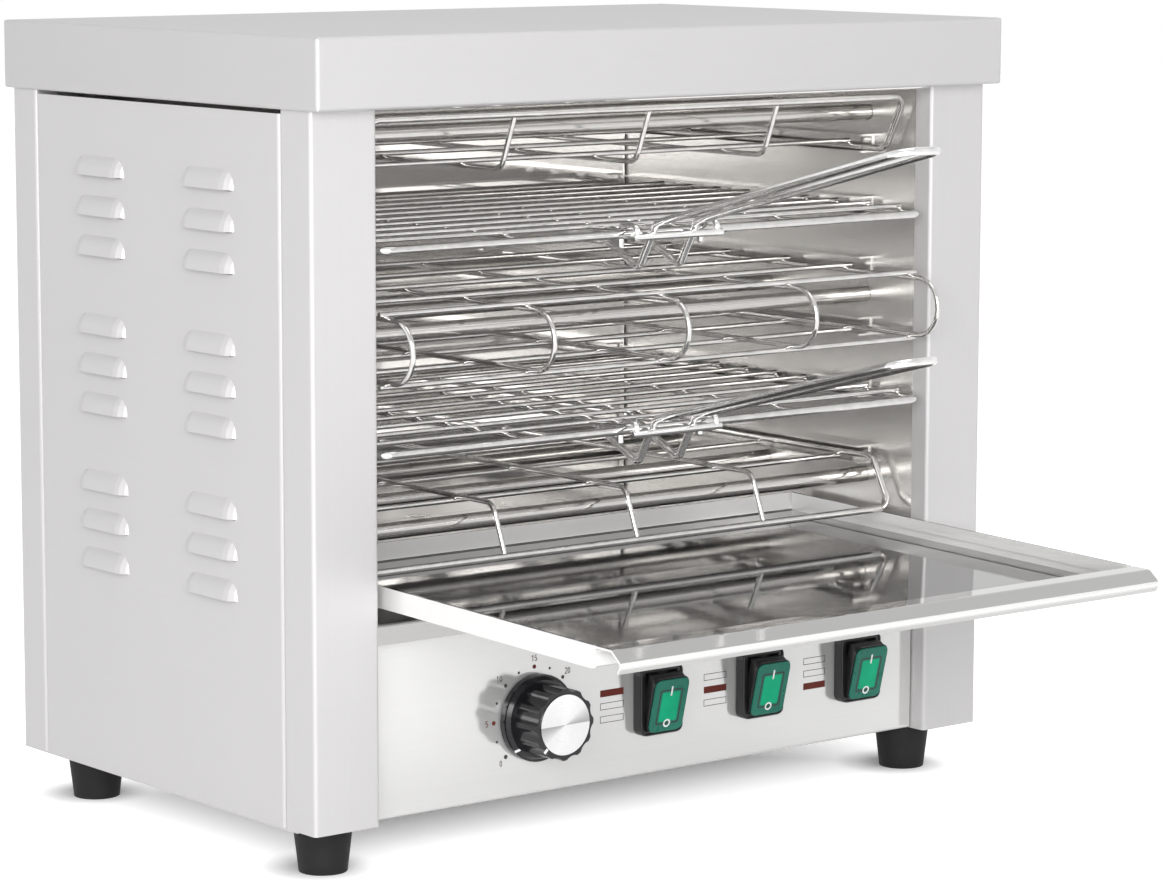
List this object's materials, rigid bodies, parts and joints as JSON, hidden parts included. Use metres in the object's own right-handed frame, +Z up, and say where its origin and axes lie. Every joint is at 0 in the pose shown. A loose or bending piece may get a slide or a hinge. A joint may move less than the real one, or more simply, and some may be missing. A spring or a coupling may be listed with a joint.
{
  "type": "salamander grill",
  "caption": "Stainless steel bar toaster grill with heating tubes behind wire guards, pull-out wire racks on hooked handles, a crumb tray, a timer knob and lit rocker switches.",
  "frame": {"origin": "on the floor under the middle of the whole object's bounding box, rack handles and cable gland included", "axes": "+Z up, -Y out of the open front, +X to the right as seen from the front"},
  "size_m": [0.452, 0.481, 0.4145],
  "materials": {
    "casing_steel": "fine satin stainless steel",
    "polished_steel": "bright polished stainless steel",
    "tube_steel": "smooth stainless heating tube",
    "wire_chrome": "bright plated wire",
    "ceramic_white": "unglazed ceramic bead",
    "zinc_steel": "zinc plated",
    "knob_black": "polished black plastic",
    "spun_aluminium": "spun disc",
    "boot_black": "moulded splash guard",
    "switch_black": "moulded",
    "lens_green": "translucent green",
    "foot_rubber": "moulded",
    "terminal_white": "moulded",
    "loom_red": "sleeved cable"
  },
  "bodies": {
    "grill": {"lid": "casing_steel", "left_side_panel": "casing_steel", "right_side_panel": "casing_steel", "rear_panel": "casing_steel", "front_left_post": "casing_steel", "front_right_post": "casing_steel", "rear_left_post": "casing_steel", "rear_right_post": "casing_steel", "base_plate": "casing_steel", "control_panel": "polished_steel", "cavity_floor": "polished_steel", "left_liner": "polished_steel", "right_liner": "polished_steel", "rear_liner": "polished_steel", "top_reflector": "polished_steel", "left_guide_rails": "polished_steel", "right_guide_rails": "polished_steel", "left_tray_runner": "polished_steel", "right_tray_runner": "polished_steel", "upper_heating_tubes": "tube_steel", "middle_heating_tubes": "tube_steel", "lower_heating_tubes": "tube_steel", "tube_bushings": "tube_steel", "tube_insulators": "ceramic_white", "upper_guard": "wire_chrome", "middle_guard": "wire_chrome", "lower_guard": "wire_chrome", "timer_body": "zinc_steel", "timer_screws": "zinc_steel", "switch_1_boot": "boot_black", "switch_1_housing": "switch_black", "switch_2_boot": "boot_black", "switch_2_housing": "switch_black", "switch_3_boot": "boot_black", "switch_3_housing": "switch_black", "feet": "foot_rubber", "foot_screws": "zinc_steel", "foot_nuts": "zinc_steel", "rear_panel_screws": "zinc_steel", "cable_gland": "switch_black", "gland_nut": "switch_black", "terminal_block": "terminal_white", "wiring_loom": "loom_red"},
    "tray": {"crumb_tray": "polished_steel"},
    "upper_rack_body": {"upper_rack": "wire_chrome", "upper_rack_handle": "wire_chrome"},
    "lower_rack_body": {"lower_rack": "wire_chrome", "lower_rack_handle": "wire_chrome"},
    "timer_dial": {"timer_shaft": "zinc_steel", "timer_knob": "knob_black", "knob_cap": "spun_aluminium"},
    "rocker_1": {"switch_1_rocker": "switch_black", "switch_1_lens": "lens_green"},
    "rocker_2": {"switch_2_rocker": "switch_black", "switch_2_lens": "lens_green"},
    "rocker_3": {"switch_3_rocker": "switch_black", "switch_3_lens": "lens_green"}
  },
  "joints": [
    {"name": "tray_slide", "type": "slide", "parent": "grill", "child": "tray", "axis": [0, 0.9997, 0.0253], "range_m": [-0.06, 0.155]},
    {"name": "upper_rack_slide", "type": "slide", "parent": "grill", "child": "upper_rack_body", "axis": [0, -1, 0], "range_m": [0, 0.15]},
    {"name": "lower_rack_slide", "type": "slide", "parent": "grill", "child": "lower_rack_body", "axis": [0, -1, 0], "range_m": [0, 0.15]},
    {"name": "timer_turn", "type": "hinge", "parent": "grill", "child": "timer_dial", "pos_m": [-0.079, -0.0402, 0.066], "axis": [0, 1, 0], "range_deg": [0, 270]},
    {"name": "switch_1_rock", "type": "hinge", "parent": "grill", "child": "rocker_1", "pos_m": [0, -0.0445, 0.066], "axis": [-1, 0, 0], "range_deg": [0, 28]},
    {"name": "switch_2_rock", "type": "hinge", "parent": "grill", "child": "rocker_2", "pos_m": [0.07, -0.0445, 0.066], "axis": [-1, 0, 0], "range_deg": [0, 28]},
    {"name": "switch_3_rock", "type": "hinge", "parent": "grill", "child": "rocker_3", "pos_m": [0.14, -0.0445, 0.066], "axis": [-1, 0, 0], "range_deg": [0, 28]}
  ]
}
